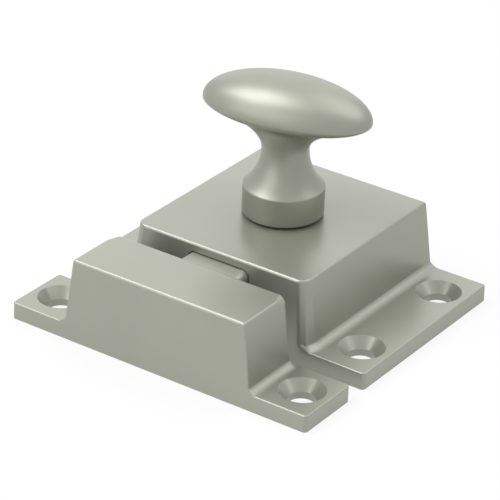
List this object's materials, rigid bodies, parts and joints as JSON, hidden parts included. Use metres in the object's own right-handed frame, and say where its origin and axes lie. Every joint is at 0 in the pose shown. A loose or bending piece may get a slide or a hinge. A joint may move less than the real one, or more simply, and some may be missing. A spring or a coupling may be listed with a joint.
{
  "type": "cabinet lock",
  "caption": "Surface-mounted cabinet latch: an oval knob turns an inner cam that draws back a sprung bolt from its strike.",
  "frame": {"origin": "middle of the mounting plane, halfway between the strike's front face and the case's back face", "axes": "+Z out of the door, from the mounting plane up to the knob; -Y towards the strike on the frame; X along the width, from ear tip to ear tip"},
  "size_m": [0.0572, 0.052, 0.0388],
  "materials": {
    "case_metal": "satin nickel over die cast zinc",
    "knob_metal": "satin nickel over die cast zinc",
    "bolt_metal": "satin nickel over die cast zinc",
    "plate_steel": "zinc plated sheet steel",
    "screw_steel": "zinc plated steel",
    "washer_steel": "plain sheet steel",
    "spindle_steel": "turned steel",
    "cam_metal": "die cast zinc, as cast",
    "clip_steel": "blued spring steel",
    "spring_steel": "drawn spring steel wire"
  },
  "bodies": {
    "lock_case": {"case": "case_metal", "back_plate": "plate_steel", "back_plate_screws": "screw_steel", "thrust_washer": "washer_steel", "bolt_spring": "spring_steel", "strike": "case_metal"},
    "turning_knob": {"knob": "knob_metal", "spindle": "spindle_steel", "cam": "cam_metal", "cam_clip": "clip_steel"},
    "sliding_bolt": {"bolt": "bolt_metal"}
  },
  "joints": [
    {"name": "knob_turn", "type": "hinge", "parent": "lock_case", "child": "turning_knob", "pos_m": [0, 0.00815, 0], "axis": [0, 0, 1], "range_deg": [0, 90]},
    {"name": "bolt_slide", "type": "slide", "parent": "lock_case", "child": "sliding_bolt", "axis": [0, 1, 0], "range_m": [0, 0.005], "stiffness_N_per_m": 830, "springref_m": -0.003, "deforming": ["bolt_spring"]}
  ],
  "couplings": [
    {"joint": "knob_turn", "follows": "bolt_slide", "rad_per_m": 314.16}
  ]
}
